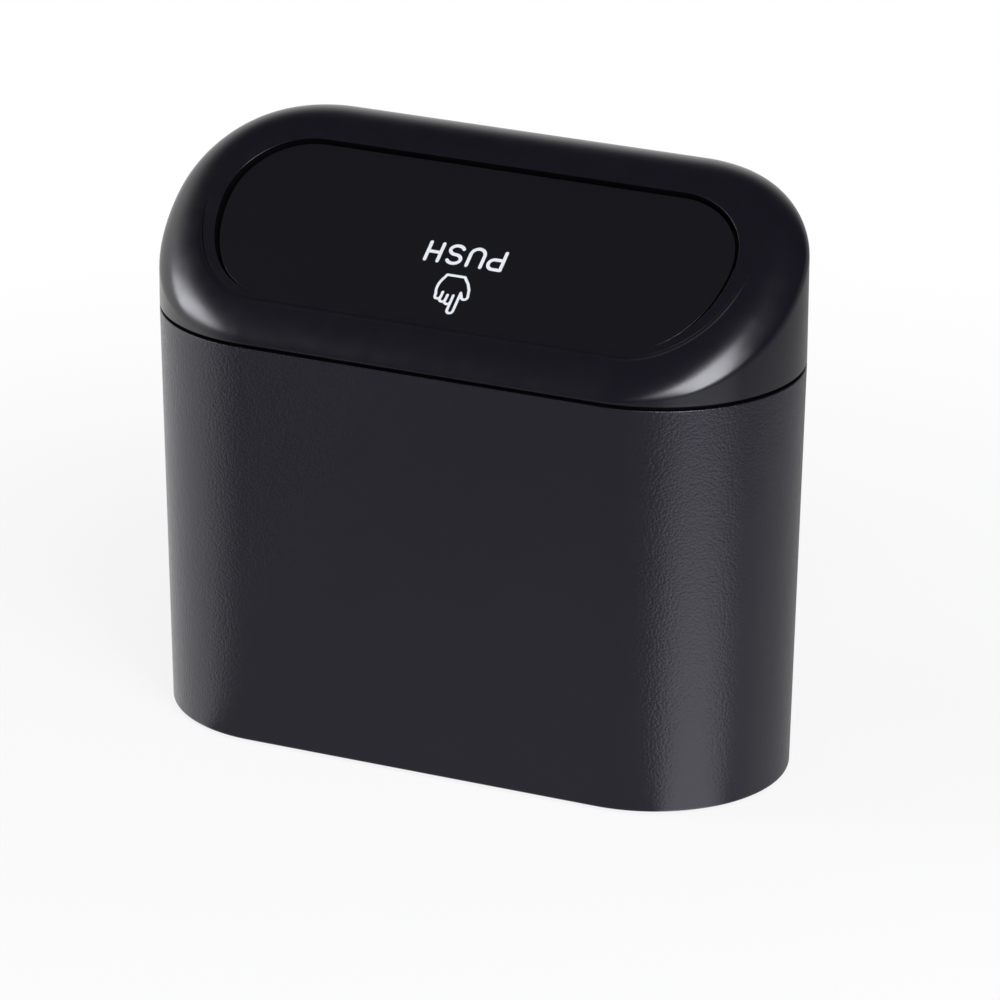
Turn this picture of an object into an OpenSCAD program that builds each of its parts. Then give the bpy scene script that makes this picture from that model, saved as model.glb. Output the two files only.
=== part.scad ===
// Car trash bin: a slim tapered tub with full-round ends, a lift-off wedge-shaped lid, and a
// push flap on the lid's slope that springs shut. Units are millimetres, +Z is up, the front
// (low) side of the lid faces -Y, and the origin is the centre of the surface it stands on.

/* [Body] */
// Length over the rim
length = 200; // [185:1:230]
// Depth over the rim; each end is a half-round of half this
depth = 86.6; // [82:0.2:96]
// Height of the tub from its foot ring to the seam under the lid
body_h = 125; // [90:1:170]
// How far each side leans in from the rim to the base
draft = 2.5; // [0.5:0.1:5]
// Wall of the tub
wall = 2.2; // [1.8:0.1:2.8]
// Thickness of the tub's floor
floor_t = 2.2; // [1.6:0.1:4]
// Round on the outer bottom edge
base_round = 1.2; // [1:0.2:4]
// Width of the foot ring round the underside
foot_ring_w = 6; // [4:0.5:10]
// How far the underside is sunk inside the foot ring
underside_sink = 1; // [0.6:0.1:2]

/* [Anti-slip pads] */
// Radius of a pad
pad_r = 7; // [4:0.5:9]
// How far the pads stand proud of the foot ring
pad_proud = 0.8; // [0.4:0.1:2]
// How far in from the rim's end a pad's centre lies
pad_from_end = 36; // [31:1:60]
// How far in from the rim's side a pad's centre lies
pad_from_side = 25.3; // [24:0.1:32]

/* [Bag ring] */
// Depth of the ledge that carries the ring, below the seam
ledge_depth = 16; // [12:0.5:30]
// How far the ledge stands out from the straight wall above it
ledge_w = 1.8; // [1.4:0.1:2.5]
// Wall of the ring
ring_wall = 1.6; // [1.2:0.1:1.7]
// Width of the ring's turned-in top flange
ring_flange = 3; // [1.5:0.5:5]
// Thickness of the flange and of the lifting eyes
ring_flange_t = 1.4; // [1:0.1:2]
// Outer radius of a lifting eye
eye_r = 8; // [6:0.5:10]
// Radius of the hole in a lifting eye
eye_hole_r = 5; // [3:0.5:5.5]

/* [Lid shell] */
// Slope of the lid's flat top, in degrees
slope = 35; // [30:0.5:36]
// Height of the slope over the seam where it would meet the front wall
front_rise = 4.4; // [4:0.1:10]
// Thickness of the lid's skin
lid_wall = 2.2; // [1.8:0.1:2.6]
// Height of the shadow groove between tub and lid
groove_h = 1.2; // [0.4:0.1:1.5]
// Depth of the shadow groove
groove_d = 1.2; // [0.6:0.1:1.4]
// Depth of the plug skirt below the seam
skirt_h = 4.4; // [3:0.2:8]
// Width of the rounded shoulder at the ends
shoulder_end = 13.2; // [10:0.2:14]
// Width of the rounded shoulder along the front
shoulder_front = 10.4; // [8:0.1:11]
// Width of the rounded shoulder along the back
shoulder_back = 24; // [18:0.5:25]
// Drop of the shoulder below the slope at the ends
drop_end = 10.5; // [6:0.5:16]
// Drop of the shoulder below the slope along the front
drop_front = 2.8; // [1.5:0.1:3]
// Drop of the shoulder below the slope along the back
drop_back = 34.2; // [20:0.2:40]
// Depth along the front of the shallow step that frames the flap
panel_step = 0.5; // [0.1:0.05:0.6]
// Width of that step's rounded lip
panel_step_w = 0.5; // [0.3:0.1:0.8]
// Round on the edge of the flap opening
opening_lip = 0.25; // [0.1:0.05:0.5]

/* [Flap opening] */
// Plan distance from the end of the lid to the opening
margin_end = 18.4; // [17.4:0.2:26]
// Plan distance from the front of the lid to the opening
margin_front = 12.9; // [12.4:0.1:16]
// Plan distance from the back of the lid to the opening
margin_back = 26.9; // [26.5:0.1:32]
// Plan distance from the back of the lid to where the opening is longest
margin_widest = 46.5; // [42:0.5:50]
// How much of each end of the opening is taken by its rounded corners
end_round = 24; // [16:0.5:30]

/* [Flap] */
// Gap between flap and opening along the hinge side
gap_far = 1.1; // [0.8:0.05:1.5]
// Gap between flap and opening at the ends
gap_end = 1.5; // [0.8:0.05:1.8]
// Gap between flap and opening along the front
gap_near = 0.5; // [0.45:0.05:1]
// How far the flap's face lies below the lid's frame along the front
flap_recess = 0.8; // [0.4:0.1:1.3]
// Skin of the flap
flap_skin = 1.8; // [1.4:0.1:2.2]
// How far the closing flange reaches under the lid's frame
flange_reach = 3; // [2:0.2:3.4]
// Thickness of the closing flange
flange_t = 1.6; // [1.2:0.1:2]
// Thickness of the ribs under the flap
rib_t = 1.2; // [0.8:0.1:1.6]
// Thickness of the soft bumpers between flange and frame
bumper_t = 0.9; // [0.6:0.1:1.2]

/* [Hinge] */
// Radius of the steel hinge rod
rod_r = 1; // [0.8:0.1:1.2]
// Radial running clearance on the rod
rod_fit = 0.05; // [0.03:0.01:0.1]
// Outer radius of knuckles and ears
knuckle_r = 2.6; // [2.4:0.1:2.8]
// Width of a flap knuckle
knuckle_w = 6; // [4:0.5:7]
// Thickness of an ear of the hinge bar
ear_t = 3; // [2:0.2:3.6]
// Distance of the hinge axis below the slope
axis_depth = 7; // [6.8:0.1:7.6]
// Distance of the hinge axis from the opening's far edge, down the slope
axis_back = 3.3; // [2.9:0.1:3.6]
// Distance from the middle to the inner side of each hinge station
station_x = 26; // [16:1:28]
// Room for the spring between its two knuckles
spring_room = 8.8; // [8:0.2:11]
// Radius of the spring's wire
wire_r = 0.45; // [0.3:0.05:0.5]
// Turns of each torsion spring
spring_turns = 5; // [4:1:6]
// Length of the spring legs past the hinge axis
leg_l = 12; // [9:0.5:14]

/* [Hinge bar and screws] */
// Thickness of the bar's plate
bar_t = 1.8; // [1.4:0.1:2.4]
// Width of the bar up the slope
bar_w = 10.2; // [9.4:0.2:11]
// Radius of the lid's screw bosses
boss_r = 3.2; // [2.8:0.1:3.4]
// Outer radius of the screw's thread
screw_r = 1.25; // [1:0.05:1.5]
// Radius of the screw's head
screw_head_r = 2.5; // [2:0.1:3]
// Length of the screw under its head
screw_l = 7.5; // [5:0.5:8]

/* [Hidden] */

$fn = 48;

// Clearance of a loose fit, clearance of a seated part, and the overlap of joined solids
loose = 0.3;
seat = 0.1;
join = 0.2;

// Plan of the tub: half-rounds of radius end_r about two centres, spine apart from the middle
end_r = depth / 2;
spine = (length - depth) / 2;
seam_z = pad_proud + body_h;
base_r = end_r - draft;
inner_r = end_r - wall;
ledge_z = seam_z - ledge_depth;
ledge_r = inner_r - ledge_w;
ledge_t = 0.8;
floor_z = pad_proud + underside_sink + floor_t;
floor_round = 2;

// Bag ring and plug skirt, both inside the tub's straight rim
ring_r = inner_r - loose;
skirt_r = inner_r - loose;
skirt_wall = 1.9;
ring_top = seam_z - skirt_h - 0.4;

// Slope of the lid: its height over the middle of the depth, and the opening in it, measured
// from there up the slope
slope_z = seam_z + front_rise + end_r * tan(slope);
open_x = length / 2 - margin_end;
open_far = (end_r - margin_back) / cos(slope);
open_near = (margin_front - end_r) / cos(slope);
open_mid = (end_r - margin_widest) / cos(slope);
frame_n = -panel_step;
under_n = frame_n - lid_wall;

// Levels of the flap, along the slope's normal
flap_n = frame_n - flap_recess;
skin_n = flap_n - flap_skin;
flange_n = under_n - bumper_t - seat;
flap_bottom_n = flange_n - flange_t;

// Hinge axis, on the slope's own coordinates
axis_s = open_far - axis_back;
axis_n = -axis_depth;
bore_r = rod_r + rod_fit;

// Hinge station: inner ear, knuckle, spring, knuckle and outer ear, outward from station_x
side_gap = 0.4;
knuckle_x1 = station_x + ear_t + side_gap;
coil_x = knuckle_x1 + knuckle_w;
knuckle_x2 = coil_x + spring_room;
ear_x2 = knuckle_x2 + knuckle_w + side_gap;
rod_x = ear_x2 + ear_t + 2.2;

// Torsion spring: its legs lie level with the top of the coil, on both sides of the axis
coil_r = rod_r + 0.45 + wire_r;
coil_pitch = 2 * wire_r + 0.15;
coil_w = spring_turns * coil_pitch;
coil_start = coil_x + (spring_room - coil_w) / 2;
leg_n = axis_n + coil_r;
leg_roof_n = leg_n + wire_r + loose;

// Hinge bar: a plate under the axis, screwed up to the lid's bosses
bar_top_n = axis_n - 3;
bar_s = axis_s + 3.6;
bar_x = ear_x2 + ear_t + 3;
boss_s = bar_s + bar_w / 2 + 0.7;
boss_x = [-ear_x2 + 1, -station_x / 2, station_x / 2, ear_x2 - 1];

// Number of steps round one end of the lid, and up its shoulder
end_steps = 30;
shoulder_steps = 12;

// Points of an arc in a plane, from one angle to another
function arc(cx, cy, r, from, to, steps) =
    [for (i = [0:steps]) let (a = from + (to - from) * i / steps) [cx + r * cos(a), cy + r * sin(a)]];

// A point of the slope (x across, s up the slope, n off it) in the part's own frame
function on_slope(x, s, n) =
    [x, s * cos(slope) - n * sin(slope), slope_z + s * sin(slope) + n * cos(slope)];

// Sweeps a section (distance from the spine, height) round the tub's plan
module sweep_round(section) {
    for (side = [0, 1])
        mirror([side, 0, 0])
            translate([spine, 0, 0])
                rotate([0, 0, -90])
                    rotate_extrude(angle = 180)
                        polygon(section);
    translate([-spine, 0, 0])
        rotate([90, 0, 90])
            linear_extrude(2 * spine)
                for (side = [0, 1])
                    mirror([side, 0])
                        polygon(section);
}

// Places children, drawn on a flat lid, on the slope
module to_slope() {
    translate([0, 0, slope_z])
        rotate([slope, 0, 0])
            children();
}

// A round bar along X about a point of the slope's own coordinates
module bar_along_x(s, n, r, x1, x2) {
    translate([x1, s, n])
        rotate([0, 90, 0])
            cylinder(r = r, h = x2 - x1);
}

// A section on the slope's own coordinates, extruded along X
module plate_along_x(section, x1, x2) {
    translate([x1, 0, 0])
        rotate([90, 0, 90])
            linear_extrude(x2 - x1)
                polygon(section);
}

// Outer radius of the tub at a height
function tub_r(z) = end_r - draft * (seam_z - z) / body_h;

module bin_body() {
    ring_in_r = base_r - base_round - foot_ring_w;
    under = pad_proud + underside_sink;
    section = concat(
        [[0, under], [ring_in_r, under], [ring_in_r + underside_sink, pad_proud]],
        arc(tub_r(pad_proud + base_round) - base_round, pad_proud + base_round, base_round, -90, 0, 5),
        [[end_r, seam_z], [inner_r, seam_z], [inner_r, ledge_z], [ledge_r, ledge_z],
            [ledge_r, ledge_z - ledge_t],
            [tub_r(ledge_z - ledge_t - ledge_w) - wall, ledge_z - ledge_t - ledge_w]],
        arc(tub_r(floor_z + floor_round) - wall - floor_round, floor_z + floor_round, floor_round, 0, -90, 4),
        [[0, floor_z]]);
    color([0.06, 0.06, 0.075])
        sweep_round(section);
}

// Soft pad in the sunk underside, at one of the four corners
module foot_pad(side_x, side_y) {
    color([0.16, 0.16, 0.17])
        translate([side_x * (length / 2 - pad_from_end), side_y * (depth / 2 - pad_from_side), 0])
            cylinder(r = pad_r, h = pad_proud + underside_sink);
}

// Frame that clamps the liner bag: it drops onto the tub's ledge and has two lifting eyes
module bag_ring() {
    wall_in = ring_r - ring_wall;
    eye_x = spine + wall_in - ring_flange - eye_r + 2;
    flange_z = ring_top - ring_flange_t;
    section = [[ring_r, ledge_z], [ring_r, ring_top], [wall_in - ring_flange, ring_top],
        [wall_in - ring_flange, flange_z], [wall_in, flange_z], [wall_in, ledge_z]];
    color([0.1, 0.1, 0.11])
        difference() {
            union() {
                sweep_round(section);
                for (side = [-1, 1]) {
                    translate([side * eye_x, 0, flange_z])
                        cylinder(r = eye_r, h = ring_flange_t);
                    translate([side * eye_x - eye_r + (side + 1) / 2 * eye_r, -eye_r, flange_z])
                        cube([eye_r, 2 * eye_r, ring_flange_t]);
                }
            }
            for (side = [-1, 1])
                translate([side * eye_x, 0, flange_z - 1])
                    cylinder(r = eye_hole_r, h = ring_flange_t + 2);
        }
}

// Share of the way from the ends to the front or back, squared, at an angle round one end
function to_side(a) = sin(a) * sin(a);

// Value that runs from one at the ends to others along the front and the back
function round_value(a, at_end, at_front, at_back) =
    at_end + ((sin(a) < 0 ? at_front : at_back) - at_end) * to_side(a);

// Point of a shoulder: t runs from 0 on the wall to 90 on the slope
function shoulder_point(cx, a, r, w, h, t, lower) =
    let (q = r - w * (1 - cos(t)), y = q * sin(a))
    [cx + q * cos(a), y, slope_z + y * tan(slope) - lower - h * (1 - sin(t))];

// Point of the opening's outline, set out by some way, at a level off the slope
function opening_point(side, a, out, n) =
    on_slope(side * (open_x - end_round) + (end_round + out) * cos(a),
        open_mid + ((sin(a) < 0 ? open_mid - open_near : open_far - open_mid) + out) * sin(a), n);

// One section of the lid's shell, from the groove over the shoulder and frame, and back inside
function cover_section(side, a) =
    let (cx = side * spine,
        w = round_value(a, shoulder_end, shoulder_front, shoulder_back),
        h = round_value(a, drop_end, drop_front, drop_back),
        front = sin(a) < 0 ? to_side(a) : 0,
        rise = min(1, sqrt(front) / 0.6),
        step = panel_step * rise * rise * (3 - 2 * rise),
        skirt_in = skirt_r - skirt_wall,
        in_r = end_r - lid_wall - (end_r - lid_wall - skirt_in) * front,
        in_w = in_r - end_r + w,
        in_h = h * in_w / w,
        flare = 1.2)
    concat(
        [[cx + end_r * cos(a), end_r * sin(a), seam_z + groove_h]],
        [for (i = [0:shoulder_steps])
            shoulder_point(cx, a, end_r, w, h, 90 * i / shoulder_steps, 0)],
        [for (t = [45, 90])
            let (q = end_r - w - panel_step_w * sin(t))
            [cx + q * cos(a), q * sin(a),
                slope_z + q * sin(a) * tan(slope) - step * (1 - cos(t)) / cos(slope)]],
        [for (t = [0, 45, 90])
            opening_point(side, a, opening_lip * (1 - sin(t)), -step - opening_lip * (1 - cos(t)))],
        [opening_point(side, a, 0, under_n)],
        [for (i = [shoulder_steps:-1:0])
            shoulder_point(cx, a, in_r, in_w, in_h, 90 * i / shoulder_steps, -under_n / cos(slope))],
        [[cx + in_r * cos(a), in_r * sin(a), seam_z + flare + 0.2 + (in_r - skirt_in)],
            [cx + skirt_in * cos(a), skirt_in * sin(a), seam_z + flare],
            [cx + skirt_in * cos(a), skirt_in * sin(a), seam_z - skirt_h],
            [cx + skirt_r * cos(a), skirt_r * sin(a), seam_z - skirt_h],
            [cx + skirt_r * cos(a), skirt_r * sin(a), seam_z],
            [cx + (end_r - groove_d) * cos(a), (end_r - groove_d) * sin(a), seam_z],
            [cx + (end_r - groove_d) * cos(a), (end_r - groove_d) * sin(a), seam_z + groove_h]]);

// The lid's shell, swept round the plan as one skin with the flap opening in its slope
module cover_shell() {
    sections = concat(
        [for (i = [0:end_steps]) cover_section(1, -90 + 180 * i / end_steps)],
        [for (i = [0:end_steps]) cover_section(-1, 90 + 180 * i / end_steps)]);
    across = len(sections);
    along = len(sections[0]);
    polyhedron(
        points = [for (s = sections) for (p = s) p],
        faces = [for (i = [0:across - 1]) for (j = [0:along - 1])
            let (a = i * along + j, b = i * along + (j + 1) % along,
                c = (i + 1) % across * along + (j + 1) % along, d = (i + 1) % across * along + j)
            each [[a, b, c], [a, c, d]]]);
}

module lid_cover() {
    color([0.05, 0.05, 0.055])
        difference() {
            union() {
                cover_shell();
                to_slope()
                    for (x = boss_x)
                        translate([x, boss_s, bar_top_n])
                            cylinder(r = boss_r, h = under_n + 0.8 - bar_top_n);
            }
            to_slope()
                for (x = boss_x)
                    translate([x, boss_s, bar_top_n - 1])
                        cylinder(r = screw_r, h = under_n - bar_top_n + 0.6);
        }
}

// Soft pads that the closing flange meets, stuck under the lid's frame near its front edge
module flap_bumper(side) {
    color([0.16, 0.16, 0.17])
        to_slope()
            translate([side * open_x / 2 - 6, open_near - flange_reach + 0.3, under_n - bumper_t])
                cube([12, flange_reach - 0.6, bumper_t]);
}

// Outline on the slope, drawn in from the opening by a gap at the ends, far and near sides
function flap_outline(in_end, in_far, in_near) =
    [for (side = [1, -1]) for (i = [0:end_steps])
        let (a = (side > 0 ? -90 : 90) + 180 * i / end_steps, near = sin(a) < 0)
        [side * (open_x - end_round) + (end_round - in_end) * cos(a),
            open_mid + (near ? open_mid - open_near - in_near : open_far - open_mid - in_far) * sin(a)]];

// The push flap: a face plate with a closing flange, ribs, and knuckles on the hinge rod
module push_flap() {
    edge = 1.8;
    notch_x = station_x - side_gap;
    rib_s = [open_mid - 20, open_mid + 2];
    rib_x = [0, 20, 58];
    color([0.035, 0.035, 0.04])
        to_slope()
            difference() {
                union() {
                    difference() {
                        union() {
                            translate([0, 0, flap_bottom_n])
                                linear_extrude(flap_n - flap_bottom_n)
                                    polygon(flap_outline(gap_end, gap_far, gap_near));
                            intersection() {
                                translate([0, 0, flap_bottom_n])
                                    linear_extrude(flange_t)
                                        polygon(flap_outline(-flange_reach, -flange_reach, -flange_reach));
                                translate([-length / 2, open_near - 10, flap_bottom_n])
                                    cube([length, axis_s - 5 - open_near + 10, flange_t]);
                            }
                        }
                        translate([0, 0, flap_bottom_n - 1])
                            linear_extrude(skin_n - flap_bottom_n + 1)
                                polygon(flap_outline(gap_end + edge, gap_far + edge, gap_near + edge));
                        for (side = [0, 1])
                            mirror([side, 0, 0])
                                translate([notch_x, axis_s - 4, flap_bottom_n - 1])
                                    cube([rod_x + side_gap - notch_x, 8, skin_n - flap_bottom_n + 1]);
                    }
                    intersection() {
                        translate([0, 0, flap_bottom_n])
                            linear_extrude(skin_n - flap_bottom_n + join)
                                polygon(flap_outline(gap_end + edge / 2, gap_far + edge / 2, gap_near + edge / 2));
                        union() {
                            for (s = rib_s)
                                translate([-length / 2, s - rib_t / 2, flap_bottom_n])
                                    cube([length, rib_t, skin_n - flap_bottom_n + join]);
                            for (side = [-1, 1], x = rib_x)
                                translate([side * x - rib_t / 2, open_near, flap_bottom_n])
                                    cube([rib_t, open_far - open_near, skin_n - flap_bottom_n + join]);
                        }
                    }
                    for (side = [0, 1])
                        mirror([side, 0, 0])
                            flap_station();
                }
                bar_along_x(axis_s, axis_n, bore_r, -rod_x, rod_x);
            }
}

// One side's knuckles, and the guide that its spring leg presses on
module flap_station() {
    leg_x = coil_start + coil_w;
    guide = 0.8;
    for (x = [knuckle_x1, knuckle_x2]) {
        bar_along_x(axis_s, axis_n, knuckle_r, x, x + knuckle_w);
        translate([x, axis_s - knuckle_r, axis_n])
            cube([knuckle_w, 2 * knuckle_r - 0.9, skin_n + join - axis_n]);
    }
    translate([leg_x - wire_r - loose - guide, axis_s - leg_l - 1, leg_roof_n])
        cube([2 * (wire_r + loose + guide), leg_l - 3, skin_n + join - leg_roof_n]);
    for (x = [leg_x - wire_r - loose - guide, leg_x + wire_r + loose])
        translate([x, axis_s - leg_l - 1, leg_n])
            cube([guide, leg_l - 3, skin_n + join - leg_n]);
}

// The bar that carries the flap: four ears for the rod and two hooks for the spring legs
module hinge_bar() {
    corner = 2;
    ear = [[axis_s, axis_n + knuckle_r], [axis_s + knuckle_r, axis_n + knuckle_r],
        [bar_s + 2.6, bar_top_n + 0.2], [bar_s + 2.6, bar_top_n - bar_t / 2],
        [bar_s, bar_top_n - bar_t], [axis_s, axis_n - knuckle_r]];
    rib_h = 3;
    color([0.09, 0.09, 0.1])
        to_slope()
            difference() {
                union() {
                    translate([0, 0, bar_top_n - bar_t])
                        linear_extrude(bar_t) {
                            translate([-bar_x, bar_s + corner])
                                square([2 * bar_x, bar_w - 2 * corner]);
                            translate([-bar_x + corner, bar_s])
                                square([2 * (bar_x - corner), bar_w]);
                            for (side = [-1, 1], s = [bar_s + corner, bar_s + bar_w - corner])
                                translate([side * (bar_x - corner), s])
                                    circle(r = corner);
                        }
                    translate([-bar_x + corner, bar_s + bar_w - rib_t, bar_top_n - join])
                        cube([2 * (bar_x - corner), rib_t, rib_h + join]);
                    for (side = [0, 1])
                        mirror([side, 0, 0]) {
                            for (x = [station_x, ear_x2]) {
                                plate_along_x(ear, x, x + ear_t);
                                bar_along_x(axis_s, axis_n, knuckle_r, x, x + ear_t);
                            }
                            spring_hook();
                        }
                }
                bar_along_x(axis_s, axis_n, bore_r, -rod_x, rod_x);
                for (x = boss_x)
                    translate([x, boss_s, bar_top_n - bar_t - 1])
                        cylinder(r = screw_r + 0.15, h = bar_t + 2);
            }
}

// A post whose slot, open to one side, holds down the still leg of the spring
module spring_hook() {
    post_w = 3.2;
    post_s = axis_s + leg_l - 4.6;
    slot_x = coil_start - wire_r - loose;
    difference() {
        translate([slot_x - 1.2, post_s, bar_top_n - join])
            cube([post_w, 2.4, leg_roof_n + 1 - bar_top_n + join]);
        translate([slot_x, post_s - 1, leg_n - wire_r - loose])
            cube([post_w, 4.4, leg_roof_n - leg_n + wire_r + loose]);
    }
}

module hinge_rod() {
    color([0.75, 0.76, 0.78])
        to_slope()
            bar_along_x(axis_s, axis_n, rod_r, -rod_x, rod_x);
}

// Push-on clip that keeps the rod from sliding out of the outer ear
module rod_clip(side) {
    clip_t = 0.5;
    clip_r = 2.8;
    clip_x = ear_x2 + ear_t + seat;
    color([0.7, 0.71, 0.73])
        to_slope()
            mirror([side > 0 ? 0 : 1, 0, 0])
                difference() {
                    union() {
                        bar_along_x(axis_s, axis_n, clip_r, clip_x, clip_x + clip_t);
                        bar_along_x(axis_s, axis_n, rod_r + 0.7, clip_x, clip_x + 1.1);
                    }
                    bar_along_x(axis_s, axis_n, rod_r + 0.02, clip_x - 1, clip_x + 2);
                }
}

// Self-tapping pan-head screw that holds the hinge bar to one of the lid's bosses
module hinge_screw(index) {
    head_h = 1.6;
    tip_h = 1.2;
    head_top = bar_top_n - bar_t;
    color([0.6, 0.61, 0.63])
        to_slope()
            translate([boss_x[index], boss_s, head_top])
                difference() {
                    union() {
                        translate([0, 0, -head_h])
                            cylinder(r1 = screw_head_r * 0.8, r2 = screw_head_r, h = head_h);
                        translate([0, 0, -join])
                            cylinder(r = screw_r - 0.05, h = screw_l - tip_h + join);
                        translate([0, 0, screw_l - tip_h])
                            cylinder(r1 = screw_r - 0.05, r2 = 0.3, h = tip_h);
                    }
                    for (turn = [0, 90])
                        rotate([0, 0, turn])
                            translate([-screw_head_r * 0.55, -0.3, -head_h - 0.2])
                                cube([screw_head_r * 1.1, 0.6, 1.1]);
                }
}

// Centre line of one torsion spring: still leg, coil, and the leg that turns with the flap
function spring_path() =
    let (turn_steps = 16, steps = spring_turns * turn_steps)
    concat(
        [[coil_start, axis_s + leg_l, leg_n], [coil_start, axis_s + leg_l / 2, leg_n]],
        [for (i = [0:steps]) let (a = 90 + 360 * i / turn_steps)
            [coil_start + coil_w * i / steps, axis_s + coil_r * cos(a), axis_n + coil_r * sin(a)]],
        [[coil_start + coil_w, axis_s - leg_l / 2, leg_n], [coil_start + coil_w, axis_s - leg_l, leg_n]]);

function unit(v) = v / norm(v);

// Direction of a path at one of its points
function heading(path, i) =
    unit(path[min(i + 1, len(path) - 1)] - path[max(i - 1, 0)]);

// A round wire along a path that never runs along X
module wire(path, r, sides) {
    rings = [for (i = [0:len(path) - 1])
        let (t = heading(path, i), u = unit([1, 0, 0] - t[0] * t), v = cross(t, u))
        [for (k = [0:sides - 1]) path[i] + r * (u * cos(360 * k / sides) + v * sin(360 * k / sides))]];
    last = len(path) - 1;
    polyhedron(
        points = [for (ring = rings) for (p = ring) p],
        faces = concat(
            [[for (k = [0:sides - 1]) k]],
            [[for (k = [sides - 1:-1:0]) last * sides + k]],
            [for (i = [0:last - 1]) for (k = [0:sides - 1])
                let (a = i * sides + k, b = i * sides + (k + 1) % sides,
                    c = (i + 1) * sides + (k + 1) % sides, d = (i + 1) * sides + k)
                each [[a, d, c], [a, c, b]]]));
}

module torsion_spring(side) {
    color([0.72, 0.73, 0.75])
        to_slope()
            mirror([side > 0 ? 0 : 1, 0, 0])
                wire(spring_path(), wire_r, 8);
}

bin_body();
foot_pad(-1, -1);  // foot_pad_front_left
foot_pad(1, -1);  // foot_pad_front_right
foot_pad(-1, 1);  // foot_pad_back_left
foot_pad(1, 1);  // foot_pad_back_right
bag_ring();
lid_cover();
hinge_bar();
hinge_rod();
rod_clip(-1);  // rod_clip_left
rod_clip(1);  // rod_clip_right
torsion_spring(-1);  // torsion_spring_left
torsion_spring(1);  // torsion_spring_right
hinge_screw(0);  // hinge_screw_1
hinge_screw(1);  // hinge_screw_2
hinge_screw(2);  // hinge_screw_3
hinge_screw(3);  // hinge_screw_4
flap_bumper(-1);  // flap_bumper_left
flap_bumper(1);  // flap_bumper_right
push_flap();
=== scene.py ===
import math

import bmesh
import bpy
from mathutils import Matrix, Quaternion, Vector


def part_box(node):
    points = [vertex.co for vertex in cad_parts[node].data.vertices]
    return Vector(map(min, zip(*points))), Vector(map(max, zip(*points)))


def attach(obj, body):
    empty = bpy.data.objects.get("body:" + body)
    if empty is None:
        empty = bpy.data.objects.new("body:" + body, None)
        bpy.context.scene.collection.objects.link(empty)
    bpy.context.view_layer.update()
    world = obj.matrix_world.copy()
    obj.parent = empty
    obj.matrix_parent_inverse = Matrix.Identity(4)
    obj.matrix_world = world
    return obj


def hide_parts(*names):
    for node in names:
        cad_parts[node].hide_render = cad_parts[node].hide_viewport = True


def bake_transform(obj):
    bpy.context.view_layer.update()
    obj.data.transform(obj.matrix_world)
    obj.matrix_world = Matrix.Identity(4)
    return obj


# Looks of the car trash bin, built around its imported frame. Lengths are millimetres in the part's
# own frame (+Z up, the low front of the lid towards -Y) until piece() turns a mesh into metres.
# The lid's slope has coordinates of its own: X along the length, S up the slope and N out of it,
# from the point of the slope's plane over the part's middle.

MM = 0.001

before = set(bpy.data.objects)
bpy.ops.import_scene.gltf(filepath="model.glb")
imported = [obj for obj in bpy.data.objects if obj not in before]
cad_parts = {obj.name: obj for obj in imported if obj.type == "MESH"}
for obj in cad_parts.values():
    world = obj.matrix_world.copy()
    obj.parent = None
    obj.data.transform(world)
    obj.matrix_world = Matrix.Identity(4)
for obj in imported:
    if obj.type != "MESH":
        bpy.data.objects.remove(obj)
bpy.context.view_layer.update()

# Plan of the tub, from the frame: half-rounds about two centres, SPINE from the middle
tub_low, tub_high = (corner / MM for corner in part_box("bin_body"))
END_R = tub_high.y
SPINE = tub_high.x - END_R
SEAM_Z = tub_high.z
FOOT_Z = tub_low.z

# Tub
DRAFT = 2.5
WALL = 2.2
FLOOR_Z = 4.0
BASE_ROUND = 1.2
FOOT_RING_W = 6
UNDER_SINK = 1
FLOOR_ROUND = 2
LEDGE_Z = SEAM_Z - 16
LEDGE_W = 1.8
LEDGE_T = 0.8
INNER_R = END_R - WALL
RIM_EDGE = 0.25

# Bag ring
RING_R = INNER_R - 0.3
RING_WALL = 1.6
RING_FLANGE = 3
RING_FLANGE_T = 1.4
RING_TOP = SEAM_Z - 4.8
EYE_R = 8
EYE_HOLE_R = 5

# Lid shell: widths and drops of its rounded shoulder at the ends, front and back, and the step
# that frames the flap. The step fades out round the corners, with its lip and its crease; the
# crease is painted in shade where the step has risen far enough.
SLOPE = math.radians(35)
COS, TAN = math.cos(SLOPE), math.tan(SLOPE)
FRONT_RISE = 4.4
SLOPE_Z = SEAM_Z + FRONT_RISE + END_R * TAN
LID_WALL = 2.2
GROOVE_H = 1.2
GROOVE_D = 2.0
SKIRT_H = 4.4
SKIRT_R = INNER_R - 0.3
SKIRT_IN = SKIRT_R - 1.9
SKIRT_FLARE = 1.2
SHOULDER_W = (13.2, 10.4, 24)
SHOULDER_DROP = (10.5, 2.8, 34.2)
SHOULDER_STEPS, INSIDE_STEPS = 22, 12
STEP = 0.32
STEP_FADE = 0.6
LIP_OUT, LIP_IN, LIP_STEPS = 1.4, 0.2, 10
CREASE_W, CREASE_D, CREASE_SHADE_FROM = 0.55, 0.3, 0.3
OPENING_LIP = 0.1

# Flap opening: its margins from the tub's outline in plan, and its edges on the slope
MARGIN_END, MARGIN_BACK, MARGIN_FRONT, MARGIN_WIDEST = 18.4, 26.9, 12.9, 46.5
OPEN_X = END_R + SPINE - MARGIN_END
OPEN_FAR = (END_R - MARGIN_BACK) / COS
OPEN_NEAR = (MARGIN_FRONT - END_R) / COS
OPEN_MID = (END_R - MARGIN_WIDEST) / COS
OPEN_ROUND = 24
UNDER_N = -2.7

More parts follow.
